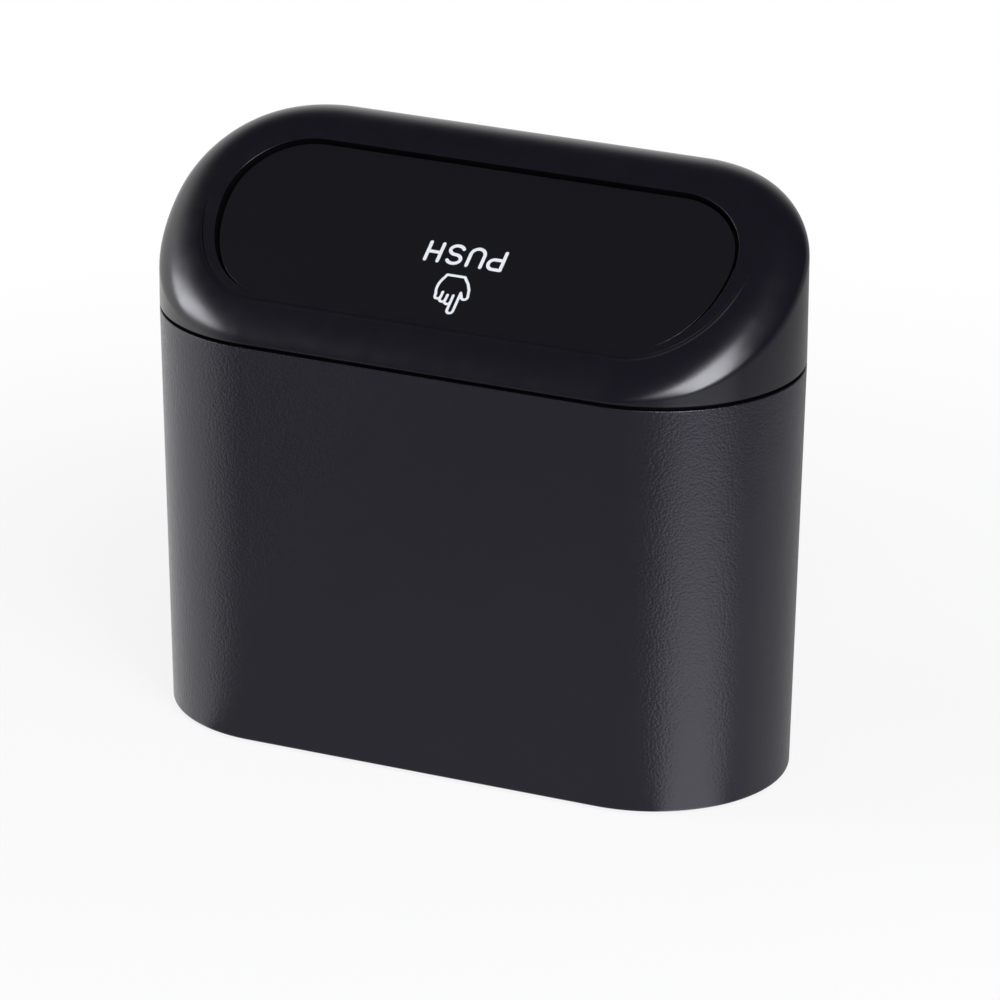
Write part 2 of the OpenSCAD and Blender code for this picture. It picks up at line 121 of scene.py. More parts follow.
# Flap, with ribs and knuckles that reach into its skin by FLAP_JOIN
GAP_END, GAP_FAR, GAP_NEAR = 1.5, 1.1, 0.5
FLAP_N = -1.3
FLAP_SKIN = 1.8
FLAP_JOIN = 0.2
SKIN_N = FLAP_N - FLAP_SKIN
FLANGE_REACH = 3
FLANGE_T = 1.6
FLAP_BOTTOM_N = UNDER_N - 1.0 - FLANGE_T
FLAP_SKIRT = 1.8
FLAP_EDGE = 0.08
RIB_T = 1.2
RIB_S = (OPEN_MID - 20, OPEN_MID + 2)
RIB_X = (-58, -20, 0, 20, 58)
BEYOND = 200

# Bumpers
BUMPER_W, BUMPER_L, BUMPER_T = 12, FLANGE_REACH - 0.6, 0.9
BUMPER_S = OPEN_NEAR - FLANGE_REACH + 0.3
BUMPER_EDGE = 0.25

# Hinge, outward from the middle: ear, knuckle, spring, knuckle, ear
AXIS_S = OPEN_FAR - 3.3
AXIS_N = -7
BORE_R = 1.05
KNUCKLE_R = 2.6
KNUCKLE_W = 6
STATION_X = 26
EAR_T = 3
SIDE_GAP = 0.4
KNUCKLE_X1 = STATION_X + EAR_T + SIDE_GAP
SPRING_ROOM = 8.8
SPRING_X = KNUCKLE_X1 + KNUCKLE_W
KNUCKLE_X2 = SPRING_X + SPRING_ROOM
EAR_X2 = KNUCKLE_X2 + KNUCKLE_W + SIDE_GAP
ROD_X = EAR_X2 + EAR_T + 2.2
WIRE_R = 0.45
COIL_R = 1.9
COIL_TURNS = 5
COIL_W = COIL_TURNS * 1.05
COIL_START = SPRING_X + (SPRING_ROOM - COIL_W) / 2
LEG_L = 12
LEG_N = AXIS_N + COIL_R
BAR_TOP_N = AXIS_N - 3
BAR_S, BAR_W = AXIS_S + 3.6, 10.2
BOSS_S = BAR_S + BAR_W / 2 + 0.7
BOSS_R = 3.2
SCREW_R = 1.25
BOSS_X = (-EAR_X2 + 1, -STATION_X / 2, STATION_X / 2, EAR_X2 - 1)

# Steps round each end of the plan and along its sides
ROUND_STEPS = 72
STRAIGHT_STEPS = 16

# Edges that turn by more than this stay sharp
SMOOTH_ANGLE = math.radians(32)

SLOPE_FRAME = Matrix.Translation((0, 0, SLOPE_Z)) @ Matrix.Rotation(SLOPE, 4, "X")


# Solids, in millimetres

def arc(cx, cy, rx, start, end, steps, ry=None):
    """Points of an arc or a part of an ellipse in a plane, between two angles in degrees."""
    angles = [math.radians(start + (end - start) * i / steps) for i in range(steps + 1)]
    return [(cx + rx * math.cos(a), cy + (ry or rx) * math.sin(a)) for a in angles]


def solid(points, faces, materials=(), slots=()):
    """A closed mesh object of its own, its normals outward, with a material slot for each face."""
    mesh = bpy.data.meshes.new("solid")
    mesh.from_pydata([Vector(p) for p in points], [], faces)
    for material in materials:
        mesh.materials.append(material)
    if materials:
        mesh.polygons.foreach_set("material_index", slots)
    work = bmesh.new()
    work.from_mesh(mesh)
    bmesh.ops.remove_doubles(work, verts=work.verts, dist=1e-5)
    bmesh.ops.recalc_face_normals(work, faces=work.faces)
    work.to_mesh(mesh)
    work.free()
    made = bpy.data.objects.new("solid", mesh)
    bpy.context.scene.collection.objects.link(made)
    return made


def loft(rings, closed=False, materials=(), painted_shade=None):
    """A skin over rings of as many points each. Its ends are capped, or joined to each other.

    Where two materials are given, a face takes the second, a painted shade, if the given test picks
    it by its ring and place."""
    count = len(rings[0])
    faces = []
    slots = []
    for i in range(len(rings) if closed else len(rings) - 1):
        low, high = i * count, (i + 1) % len(rings) * count
        for j in range(count):
            k = (j + 1) % count
            faces.append((low + j, low + k, high + k, high + j))
            slots.append(1 if painted_shade and painted_shade(i, j) else 0)
    if not closed:
        slots += [0, 0]
        faces.append(tuple(range(count)))
        faces.append(tuple((len(rings) - 1) * count + j for j in range(count)))
    return solid([p for ring in rings for p in ring], faces, materials, slots)


def slab(outline, low, high, edge=0, edge_steps=3, materials=()):
    """An outline raised between two levels, with its top edge rounded where edge is given.

    The side under a rounded edge takes the second material, where there is one: a painted shade for
    a side that lies in a gap."""
    if not edge:
        return loft([[(x, y, z) for x, y in outline(0)] for z in (low, high)], materials=materials)
    levels = [(0, low)] + [(edge + u, high - edge + v) for u, v in
                           arc(0, 0, edge, 180, 90, edge_steps)]
    rings = [[(x, y, z) for x, y in outline(inset)] for inset, z in levels]
    return loft(rings, materials=materials, painted_shade=lambda i, j: i == 0)


def block(x1, x2, y1, y2, z1, z2):
    corners = [(x1, y1), (x2, y1), (x2, y2), (x1, y2)]
    return slab(lambda inset: corners, z1, z2)


def post(x, y, r, z1, z2, edge=0):
    """An upright round bar."""
    return slab(lambda inset: arc(x, y, r - inset, 0, 360 - 360 / 64, 63), z1, z2, edge)


def bar(x1, x2, s, n, r):
    """A round bar along X."""
    circle = arc(s, n, r, 0, 360 - 360 / 48, 47)
    return loft([[(x, y, z) for y, z in circle] for x in (x1, x2)])


def combine(first, operation, *others):
    """Unites, cuts or intersects a solid with others, which are used up."""
    for other in others:
        step = first.modifiers.new("step", "BOOLEAN")
        step.operation = operation
        step.solver = "MANIFOLD"
        step.object = other
        graph = bpy.context.evaluated_depsgraph_get()
        result = bpy.data.meshes.new_from_object(first.evaluated_get(graph))
        first.modifiers.clear()
        first.data = result
        bpy.data.objects.remove(other)
    return first


def unite(*solids):
    return combine(solids[0], "UNION", *solids[1:])


def cut(first, *others):
    return combine(first, "DIFFERENCE", *others)


def piece(name, made, body, material, replaces=(), place=None):
    """Finishes a solid as a piece: in metres, smooth but for sharp edges, riding on a body."""
    made.data.transform(Matrix.Scale(MM, 4) @ (place or Matrix.Identity(4)))
    made.name = made.data.name = name
    slots = made.data.materials
    if not slots:
        slots.append(material)
    # Solids without a material leave an empty slot behind where they are joined on
    for i, found in enumerate(slots):
        slots[i] = found or material
    made.data.shade_smooth()
    made.data.set_sharp_from_angle(angle=SMOOTH_ANGLE)
    normals = made.modifiers.new("flat faces stay flat", "WEIGHTED_NORMAL")
    normals.keep_sharp = True
    normals.weight = 90
    if body:
        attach(made, body)
    if replaces:
        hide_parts(*replaces)
    return made


# Plan

def stations():
    """Round the plan: (share, angle), the share 1 at one end's centre and -1 at the other's."""
    made = []
    for side, start in ((1, -90), (-1, 90)):
        made += [(side, math.radians(start + 180 * i / ROUND_STEPS))
                 for i in range(ROUND_STEPS + 1)]
        made += [(side * (1 - 2 * i / STRAIGHT_STEPS), math.radians(start + 180))
                 for i in range(1, STRAIGHT_STEPS)]
    return made


def plan_point(share, angle, r, z):
    return (share * SPINE + r * math.cos(angle), r * math.sin(angle), z)


def sweep_round(section):
    """Sweeps (distance from the spine, height) round the plan, capped where it starts and ends."""
    return [[plan_point(share, angle, r, z) for share, angle in stations()] for r, z in section]


# Materials

def add(tree, kind, inputs=None, **settings):
    """A shader node. Each input is given a value, or the output of another node."""
    node = tree.nodes.new("ShaderNode" + kind)
    for name, value in settings.items():
        setattr(node, name, value)
    for name, value in (inputs or {}).items():
        if isinstance(value, bpy.types.NodeSocket):
            tree.links.new(value, node.inputs[name])
        else:
            node.inputs[name].default_value = value
    return node


def calculate(tree, operation, one, other):
    return add(tree, "Math", {0: one, 1: other}, operation=operation).outputs["Value"]


def start_material(name):
    made = bpy.data.materials.new(name)
    made.use_nodes = True
    tree = made.node_tree
    place = add(tree, "TexCoord").outputs["Object"]
    return made, tree, tree.nodes["Principled BSDF"], place


def noise(tree, place, size, detail):
    """Noise whose blobs are about this many millimetres across."""
    inputs = {"Vector": place, "Scale": 1 / (size * MM), "Detail": detail, "Roughness": 0.5}
    return add(tree, "TexNoise", inputs).outputs["Fac"]


def between(tree, factor, low, high):
    """Low to high over the range that noise mostly keeps to."""
    inputs = {"Value": factor, "From Min": 0.3, "From Max": 0.7, "To Min": low, "To Max": high}
    return add(tree, "MapRange", inputs).outputs["Result"]


def vary_colour(tree, shader, factor, low, high):
    mix = add(tree, "Mix", {"Factor": factor, "A": (*low, 1), "B": (*high, 1)}, data_type="RGBA")
    tree.links.new(mix.outputs["Result"], shader.inputs["Base Color"])


def add_bump(tree, shader, height, depth):
    """Raises the surface by a height from 0 to 1 times a depth in millimetres."""
    node = add(tree, "Bump", {"Height": height, "Distance": depth * MM, "Strength": 1})
    if shader.inputs["Normal"].is_linked:
        tree.links.new(shader.inputs["Normal"].links[0].from_socket, node.inputs["Normal"])
    tree.links.new(node.outputs["Normal"], shader.inputs["Normal"])


def moulded_plastic(name, low, high, rough, micro, specular):
    """Smooth moulded plastic: slight patches of colour and gloss, and a fine surface waviness."""
    made, tree, shader, place = start_material(name)
    vary_colour(tree, shader, noise(tree, place, 18, 3), low, high)
    tree.links.new(between(tree, noise(tree, place, 6, 4), *rough), shader.inputs["Roughness"])
    shader.inputs["Specular IOR Level"].default_value = specular
    add_bump(tree, shader, noise(tree, place, 0.35, 2), micro)
    return made


def grained_plastic(name, low, high, rough, cell, depth, specular):
    """Moulded plastic with a leather-like grain: pebbles of about one cell, and finer specks."""
    made, tree, shader, place = start_material(name)
    vary_colour(tree, shader, noise(tree, place, 14, 3), low, high)
    tree.links.new(between(tree, noise(tree, place, 2.5, 4), *rough), shader.inputs["Roughness"])
    shader.inputs["Specular IOR Level"].default_value = specular
    inputs = {"Vector": place, "Scale": 1 / (cell * MM), "Smoothness": 0.6, "Randomness": 1.0}
    cells = add(tree, "TexVoronoi", inputs, feature="SMOOTH_F1")
    add_bump(tree, shader, calculate(tree, "SUBTRACT", 1, cells.outputs["Distance"]), depth)
    add_bump(tree, shader, noise(tree, place, cell * 0.45, 3), depth * 0.5)
    return made


def foam_rubber(name, low, high):
    """Matt foam with fine open cells."""
    made, tree, shader, place = start_material(name)
    vary_colour(tree, shader, noise(tree, place, 3, 4), low, high)
    shader.inputs["Roughness"].default_value = 0.85
    cells = add(tree, "TexVoronoi", {"Vector": place, "Scale": 1 / (0.35 * MM)})
    add_bump(tree, shader, cells.outputs["Distance"], 0.08)
    return made


def steel(name, low, high, rough):
    """Bright steel with fine marks drawn along the part's length."""
    made, tree, shader, place = start_material(name)
    shader.inputs["Metallic"].default_value = 1
    stretched = add(tree, "Mapping", {"Vector": place, "Scale": (0.05, 1, 1)})
    marks = noise(tree, stretched.outputs["Vector"], 0.12, 3)
    vary_colour(tree, shader, marks, low, high)
    tree.links.new(between(tree, marks, *rough), shader.inputs["Roughness"])
    add_bump(tree, shader, marks, 0.004)
    return made


def print_ink(name):
    """White printed ink, a little uneven."""
    made, tree, shader, place = start_material(name)
    vary_colour(tree, shader, noise(tree, place, 0.5, 3), (0.74, 0.76, 0.79), (0.84, 0.85, 0.87))
    shader.inputs["Roughness"].default_value = 0.45
    add_bump(tree, shader, noise(tree, place, 0.2, 2), 0.006)
    return made


TUB = grained_plastic("tub_grain", low=(0.0075, 0.007, 0.0115), high=(0.0095, 0.009, 0.014),
                      rough=(0.22, 0.27), cell=0.75, depth=0.1, specular=0.85)
TUB.node_tree.nodes["Principled BSDF"].inputs["Specular Tint"].default_value = (0.9, 0.88, 1.0, 1)
LID = moulded_plastic("lid_satin", low=(0.0057, 0.0052, 0.0089), high=(0.0065, 0.0059, 0.0101),
                      rough=(0.21, 0.25), micro=0.0018, specular=0.8)
FLAP = moulded_plastic("flap_matt", low=(0.0058, 0.0054, 0.0078), high=(0.0064, 0.006, 0.0086),
                       rough=(0.24, 0.25), micro=0.001, specular=0.8)
# Painted shade: a near-black, rough, dull plastic laid on the faces in the gaps, the crease and the
# groove, where shade falls
PAINTED_GAP_SHADE = moulded_plastic("painted_gap_shade", low=(0.0012, 0.0012, 0.0016), high=(0.002, 0.002, 0.0026),
                      rough=(0.55, 0.65), micro=0.002, specular=0.15)
INNER = moulded_plastic("inner_plain", low=(0.02, 0.02, 0.022), high=(0.026, 0.026, 0.029),
                        rough=(0.4, 0.48), micro=0.004, specular=0.5)
FOAM = foam_rubber("foam_pad", low=(0.035, 0.035, 0.037), high=(0.05, 0.05, 0.053))
STEEL = steel("drawn_steel", low=(0.55, 0.56, 0.58), high=(0.68, 0.69, 0.71), rough=(0.2, 0.34))
INK = print_ink("white_ink")


# Tub

def tub_r(z):
    return END_R - DRAFT * (SEAM_Z - z) / (SEAM_Z - FOOT_Z)


def build_tub():
    foot_in = END_R - DRAFT - BASE_ROUND - FOOT_RING_W
    under = FOOT_Z + UNDER_SINK
    ledge_r = INNER_R - LEDGE_W
    below = LEDGE_Z - LEDGE_T - LEDGE_W
    section = [(foot_in, under), (foot_in + UNDER_SINK, FOOT_Z)]
    section += arc(tub_r(FOOT_Z + BASE_ROUND) - BASE_ROUND, FOOT_Z + BASE_ROUND, BASE_ROUND,
                   -90, 0, 12)
    section += arc(END_R - RIM_EDGE, SEAM_Z - RIM_EDGE, RIM_EDGE, 0, 90, 4)
    rim = len(section) - 1
    section += arc(INNER_R + RIM_EDGE, SEAM_Z - RIM_EDGE, RIM_EDGE, 90, 180, 4)
    section += [(INNER_R, LEDGE_Z + 0.3), (INNER_R - 0.3, LEDGE_Z)]
    section += arc(ledge_r + 0.2, LEDGE_Z - 0.2, 0.2, 90, 180, 3)
    section += [(ledge_r, LEDGE_Z - LEDGE_T), (tub_r(below) - WALL, below)]
    section += arc(tub_r(FLOOR_Z + FLOOR_ROUND) - WALL - FLOOR_ROUND, FLOOR_Z + FLOOR_ROUND,
                   FLOOR_ROUND, 0, -90, 8)
    # The rim's top, under the lid's groove, is painted in shade
    tub = loft(sweep_round(section), materials=(TUB, PAINTED_GAP_SHADE), painted_shade=lambda i, j: i == rim)
    return piece("tub", tub, "bin", TUB, ["bin_body"])


def build_pads():
    """Round foam pads with soft edges, in the places of the four CAD pads."""
    edge = 0.4
    for end in ("front", "back"):
        for side in ("left", "right"):
            node = f"foot_pad_{end}_{side}"
            low, high = (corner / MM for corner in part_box(node))
            middle, radius = (low + high) / 2, (high.x - low.x) / 2
            profile = arc(radius - edge, edge, edge, -90, 0, 4) + [(radius, high.z)]
            rings = [[(middle.x + x, middle.y + y, z) for x, y in arc(0, 0, r, 0, 355, 71)]
                     for r, z in profile]
            piece(f"foam_{end}_{side}", loft(rings), "bin", FOAM, [node])


def build_bag_ring():
    wall_in = RING_R - RING_WALL
    flange_in = wall_in - RING_FLANGE
    flange_z = RING_TOP - RING_FLANGE_T
    edge = 0.3
    section = [(wall_in, LEDGE_Z), (RING_R, LEDGE_Z)]
    section += arc(RING_R - edge, RING_TOP - edge, edge, 0, 90, 3)
    section += arc(flange_in + edge, RING_TOP - edge, edge, 90, 180, 3)
    section += [(flange_in, flange_z), (wall_in, flange_z)]
    ring = loft(sweep_round(section), closed=True)
    eye_x = SPINE + flange_in - EYE_R + 2
    for side in (-1, 1):
        inner = side * eye_x - EYE_R + (side + 1) / 2 * EYE_R
        ring = unite(ring, post(side * eye_x, 0, EYE_R, flange_z, RING_TOP, edge),
                     block(inner, inner + EYE_R, -EYE_R, EYE_R, flange_z, RING_TOP))
    for side in (-1, 1):
        ring = cut(ring, post(side * eye_x, 0, EYE_HOLE_R, flange_z - 1, RING_TOP + 1))
    return piece("bag_frame", ring, "bin", INNER, ["bag_ring"])


# Lid

def smooth_step(u):
    return u * u * (3 - 2 * u)


def round_value(angle, at_end, at_front, at_back):
    """Changes evenly round the plan, from an end to the front or the back."""
    share = math.sin(angle) ** 2
    return at_end + ((at_front if math.sin(angle) < 0 else at_back) - at_end) * share


def shoulder_point(share, angle, r, w, h, t, lower):
    """Where an elliptical shoulder, w wide and h deep below the slope, has turned in by t."""
    q = r - w * (1 - math.cos(t))
    y = q * math.sin(angle)
    return (share * SPINE + q * math.cos(angle), y,
            SLOPE_Z + y * TAN - lower - h * (1 - math.sin(t)))


def opening_point(share, angle, out, n):
    """On the flap opening's edge, or out from it, at a level of the slope."""
    reach = OPEN_MID - OPEN_NEAR if math.sin(angle) < 0 else OPEN_FAR - OPEN_MID
    x = share * (OPEN_X - OPEN_ROUND) + (OPEN_ROUND + out) * math.cos(angle)
    return tuple(SLOPE_FRAME @ Vector((x, OPEN_MID + (reach + out) * math.sin(angle), n)))


def cover_section(share, angle):
    """One section of the lid's shell: groove, shoulder, frame step, opening, and back inside.

    Comes with the places of its faces painted in shade: the crease, the opening's wall in the gap,
    and the groove."""
    w = round_value(angle, *SHOULDER_W)
    h = round_value(angle, *SHOULDER_DROP)
    front = math.sin(angle) ** 2 if math.sin(angle) < 0 else 0
    rise = min(1, math.sqrt(front) / STEP_FADE)
    depth = smooth_step(rise)
    step = STEP * depth
    in_r = END_R - LID_WALL - (END_R - LID_WALL - SKIRT_IN) * front
    in_w = in_r - END_R + w
    in_h = h * in_w / w
    chamfer = 0.08

    def wall(r, z):
        return plan_point(share, angle, r, z)

    points = [wall(END_R - chamfer, SEAM_Z + GROOVE_H), wall(END_R, SEAM_Z + GROOVE_H + chamfer)]
    top = math.acos(LIP_OUT * rise / w)
    for i in range(SHOULDER_STEPS + 1):
        points.append(shoulder_point(share, angle, END_R, w, h, top * i / SHOULDER_STEPS, 0))
    lip = [(LIP_OUT * rise - (LIP_OUT * rise + LIP_IN) * u,
            h * (1 - math.sin(top)) * (1 - u) + step / COS * smooth_step(u))
           for u in (i / LIP_STEPS for i in range(1, LIP_STEPS + 1))]
    painted_shade = set()
    # The crease is painted in shade once the step has risen far enough
    if rise > CREASE_SHADE_FROM:
        painted_shade.update(range(len(points) + len(lip) - 1, len(points) + len(lip) + 2))
    crease = step / COS + CREASE_D * depth
    lip += [(-LIP_IN - CREASE_W * 0.3, crease), (-LIP_IN - CREASE_W * 0.7, crease),
            (-LIP_IN - CREASE_W, step / COS)]
    for out, drop in lip:
        q = END_R - w + out
        points.append(wall(q, SLOPE_Z + q * math.sin(angle) * TAN - drop))
    for out, n in arc(OPENING_LIP, -step - OPENING_LIP, OPENING_LIP, 90, 180, 5):
        points.append(opening_point(share, angle, out, n))
    # The opening's wall in the gap is painted in shade
    painted_shade.add(len(points) - 1)
    points.append(opening_point(share, angle, 0, UNDER_N))
    for i in range(INSIDE_STEPS, -1, -1):
        points.append(shoulder_point(share, angle, in_r, in_w, in_h,
                                     math.pi / 2 * i / INSIDE_STEPS, -UNDER_N / COS))
    points += [wall(in_r, SEAM_Z + SKIRT_FLARE + 0.2 + in_r - SKIRT_IN),
               wall(SKIRT_IN, SEAM_Z + SKIRT_FLARE),
               wall(SKIRT_IN, SEAM_Z - SKIRT_H + 0.2), wall(SKIRT_IN + 0.2, SEAM_Z - SKIRT_H),
               wall(SKIRT_R - 0.3, SEAM_Z - SKIRT_H), wall(SKIRT_R, SEAM_Z - SKIRT_H + 0.3),
               wall(SKIRT_R, SEAM_Z), wall(END_R - GROOVE_D, SEAM_Z),
               wall(END_R - GROOVE_D, SEAM_Z + GROOVE_H)]
    # The groove's back wall and roof are painted in shade
    painted_shade.update((len(points) - 2, len(points) - 1))
    return points, painted_shade


def build_lid():
    sections, painted_shade = zip(*(cover_section(share, angle) for share, angle in stations()))
    shell = loft(sections, True, (LID, PAINTED_GAP_SHADE), lambda i, j: j in painted_shade[i])
    for x in BOSS_X:
        boss = post(x, BOSS_S, BOSS_R, BAR_TOP_N, UNDER_N + 0.8)
        boss.data.transform(SLOPE_FRAME)
        shell = unite(shell, boss)
    for x in BOSS_X:
        hole = post(x, BOSS_S, SCREW_R, BAR_TOP_N - 1, UNDER_N - 0.4)
        hole.data.transform(SLOPE_FRAME)
        shell = cut(shell, hole)
    return piece("lid_shell", shell, "lid", LID, ["lid_cover"])


def build_bumpers():
    """Soft pads with rounded edges, in the places of the two CAD bumpers."""
    for side, name in ((-1, "left"), (1, "right")):
        x = side * OPEN_X / 2

        def outline(inset):
            a, b = BUMPER_W / 2 - inset, BUMPER_L / 2 - inset
            corner = 0.6 - inset
            return [p for cx, cy, start in ((1, 1, 0), (-1, 1, 90), (-1, -1, 180), (1, -1, 270))
                    for p in arc(x + cx * (a - corner), BUMPER_S + BUMPER_L / 2 + cy * (b - corner),
                                 corner, start, start + 90, 5)]

        soft = slab(outline, -UNDER_N, -UNDER_N + BUMPER_T, BUMPER_EDGE)
        upside_down = SLOPE_FRAME @ Matrix.Diagonal((1, 1, -1, 1))
        soft.data.flip_normals()
        piece(f"foam_bumper_{name}", soft, "lid", FOAM, [f"flap_bumper_{name}"],
              upside_down)


# Flap

def flap_outline(in_end, in_far, in_near):
    """Outline on the slope, drawn in from the opening by a gap at the ends, far and near sides."""
    made = []
    for share, angle in stations():
        near = math.sin(angle) < 0
        reach = OPEN_MID - OPEN_NEAR - in_near if near else OPEN_FAR - OPEN_MID - in_far
        made.append((share * (OPEN_X - OPEN_ROUND) + (OPEN_ROUND - in_end) * math.cos(angle),
                     OPEN_MID + reach * math.sin(angle)))
    return made


def flap_inset(extra):
    """The flap's own outline, drawn in by so much more."""
    return lambda inset: flap_outline(GAP_END + extra + inset, GAP_FAR + extra + inset,
                                      GAP_NEAR + extra + inset)


def flap_station(side):
    """Knuckles on one side, and the guide that its spring's leg presses on."""
    leg_x = COIL_START + COIL_W
    half = WIRE_R + 0.3
    roof_n = LEG_N + half
    guide = 0.8
    top = SKIN_N + FLAP_JOIN
    made = []
    for x in (KNUCKLE_X1, KNUCKLE_X2):
        ends = sorted((side * x, side * (x + KNUCKLE_W)))
        made.append(bar(*ends, AXIS_S, AXIS_N, KNUCKLE_R))
        made.append(block(*ends, AXIS_S - KNUCKLE_R, AXIS_S + KNUCKLE_R - 0.9, AXIS_N, top))
    s1, s2 = AXIS_S - LEG_L - 1, AXIS_S - 4
    ends = sorted((side * (leg_x - half - guide), side * (leg_x + half + guide)))
    made.append(block(*ends, s1, s2, roof_n, top))
    for x in (leg_x - half - guide, leg_x + half):
        made.append(block(*sorted((side * x, side * (x + guide))), s1, s2, LEG_N, top))
    return made


def build_flap():
    # The flap's side under its rounded edge, in the gap, is painted in shade
    plate = slab(flap_inset(0), FLAP_BOTTOM_N, FLAP_N, FLAP_EDGE, 5, (FLAP, PAINTED_GAP_SHADE))
    flange = slab(lambda inset: flap_outline(-FLANGE_REACH, -FLANGE_REACH, -FLANGE_REACH),
                  FLAP_BOTTOM_N, FLAP_BOTTOM_N + FLANGE_T, materials=(FLAP, PAINTED_GAP_SHADE))
    flange = combine(flange, "INTERSECT", block(-BEYOND, BEYOND, OPEN_NEAR - 10, AXIS_S - 5,
                                                FLAP_BOTTOM_N - 1, FLAP_N))
    # Its top lies in the gap, and is painted in shade
    for face in flange.data.polygons:
        face.material_index = int(face.center.z > FLAP_BOTTOM_N + 0.7 * FLANGE_T)
    pocket = slab(flap_inset(FLAP_SKIRT), FLAP_BOTTOM_N - 1, SKIN_N)
    flap = cut(unite(plate, flange), pocket)
    for side in (-1, 1):
        ends = sorted((side * (STATION_X - SIDE_GAP), side * (ROD_X + SIDE_GAP)))
        flap = cut(flap, block(*ends, AXIS_S - 4, AXIS_S + 4, FLAP_BOTTOM_N - 1, SKIN_N))
    levels = FLAP_BOTTOM_N, SKIN_N + FLAP_JOIN
    ribs = [block(-BEYOND, BEYOND, s - RIB_T / 2, s + RIB_T / 2, *levels) for s in RIB_S]
    ribs += [block(x - RIB_T / 2, x + RIB_T / 2, OPEN_NEAR, OPEN_FAR, *levels) for x in RIB_X]
    within = slab(flap_inset(FLAP_SKIRT / 2), *levels)
    flap = unite(flap, combine(unite(*ribs), "INTERSECT", within))
    flap = unite(flap, *flap_station(-1), *flap_station(1))
    flap = cut(flap, bar(-ROD_X - 1, ROD_X + 1, AXIS_S, AXIS_N, BORE_R))
    return piece("flap", flap, "flap", FLAP, ["push_flap"], SLOPE_FRAME)


# Print on the flap

INK_W = 1.08
HAND_W = 0.85
INK_T, INK_SINK = 0.03, 0.1
CAP_H = 6.35
WORD_BASE_S = -9.75


def stroke(path, width):
    """A flat line of ink with round ends, along points that bend gently."""
    half = width / 2
    count = len(path)
    sides = ([], [])
    for i, (x, y) in enumerate(path):
        x0, y0 = path[max(i - 1, 0)]
        x1, y1 = path[min(i + 1, count - 1)]
        length = math.hypot(x1 - x0, y1 - y0)
        nx, ny = (y0 - y1) / length * half, (x1 - x0) / length * half
        sides[0].append((x + nx, y + ny))
        sides[1].append((x - nx, y - ny))

    def end_cap(near, far):
        angle = math.degrees(math.atan2(near[1] - far[1], near[0] - far[0]))
        cx, cy = (near[0] + far[0]) / 2, (near[1] + far[1]) / 2
        return arc(cx, cy, half, angle, angle - 180, 8)[1:-1]

    outline = sides[0] + end_cap(sides[0][-1], sides[1][-1])
    outline += sides[1][::-1] + end_cap(sides[1][0], sides[0][0])
    return slab(lambda inset: outline, FLAP_N - INK_SINK, FLAP_N + INK_T)


def letter_strokes():
    """Plain capitals, drawn upright from their own lower left corner: (start, paths)."""
    bowl_r = 1.75
    u_r = 2.2
    s_rx, s_ry = 2.1, CAP_H / 4
    p_shape = [[(0, 0), (0, CAP_H)],
               [(0, CAP_H), (1.3, CAP_H)] + arc(2.55, CAP_H - bowl_r, bowl_r, 90, -90, 16)
               + [(1.3, CAP_H - 2 * bowl_r), (0, CAP_H - 2 * bowl_r)]]
    u_shape = [[(0, CAP_H), (0, CAP_H - 2)] + arc(u_r, u_r, u_r, 180, 360, 20)
               + [(2 * u_r, CAP_H - 2), (2 * u_r, CAP_H)]]
    s_shape = [arc(s_rx, CAP_H - s_ry, s_rx, 25, 270, 24, s_ry)
               + arc(s_rx, s_ry, s_rx, 90, -155, 24, s_ry)[1:]]
    h_shape = [[(0, 0), (0, CAP_H)], [(4.05, 0), (4.05, CAP_H)], [(0, 3.25), (4.05, 3.25)]]
    return [(-12.1, p_shape), (-5.75, u_shape), (1.1, s_shape), (7.9, h_shape)]


def hand_strokes():
    """A plain hand whose finger points at the flap's front edge, drawn on the slope."""
    knuckle = 0.95
    paths = [[(-2.9, -20.3), (2.7, -20.3)],
             [(-2.9, -20.3)] + arc(2.2, -24.9, 6.6, 150, 203, 12)]
    centres = [(-2.95, -28.1), (-1.15, -28.9), (0.65, -29.5)]
    for cx, cy in centres:
        paths.append([(cx - knuckle, cy + 0.7)] + arc(cx, cy, knuckle, 180, 360, 10)
                     + [(cx + knuckle, cy + 1.6)])
    paths.append([(1.6, -27.2)] + arc(2.55, -32.5, knuckle, 180, 360, 12) + [(3.5, -25.9)])
    paths.append([(3.5, -25.9)] + arc(5.15, -27.1, knuckle, 215, 380, 12)
                 + [(5.6, -24.6), (4.6, -22.6), (2.7, -20.3)])
    return paths


def build_print():
    strokes = []
    for start, paths in letter_strokes():
        for path in paths:
            strokes.append(stroke([(-start - u, WORD_BASE_S - v) for u, v in path], INK_W))
    strokes += [stroke(path, HAND_W) for path in hand_strokes()]
    return piece("flap_print", unite(*strokes), "flap", INK, (), SLOPE_FRAME)


# Springs and hinge hardware

def build_spring(side, name):
    """A torsion spring: still leg, coil, and the leg that turns with the flap."""
    turn_steps = 28
    steps = COIL_TURNS * turn_steps
    path = [(COIL_START, AXIS_S + reach, LEG_N) for reach in (LEG_L, 1)]
    for i in range(steps + 1):
        angle = math.radians(90 + 360 * i / turn_steps)
        path.append((COIL_START + COIL_W * i / steps, AXIS_S + COIL_R * math.cos(angle),
                     AXIS_N + COIL_R * math.sin(angle)))
    path += [(COIL_START + COIL_W, AXIS_S - reach, LEG_N) for reach in (1, LEG_L)]
    path = [Vector((side * x, y, z)) for x, y, z in path]
    rings = []
    for i, point in enumerate(path):
        along = (path[min(i + 1, len(path) - 1)] - path[max(i - 1, 0)]).normalized()
        across = (Vector((1, 0, 0)) - along * along.x).normalized()
        up = along.cross(across)
        rings.append([point + across * y + up * z for y, z in arc(0, 0, WIRE_R, 0, 330, 11)])
    wire = piece(f"spring_{name}", loft(rings), None, STEEL, (), SLOPE_FRAME)
    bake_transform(wire)
    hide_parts(f"torsion_spring_{name}")


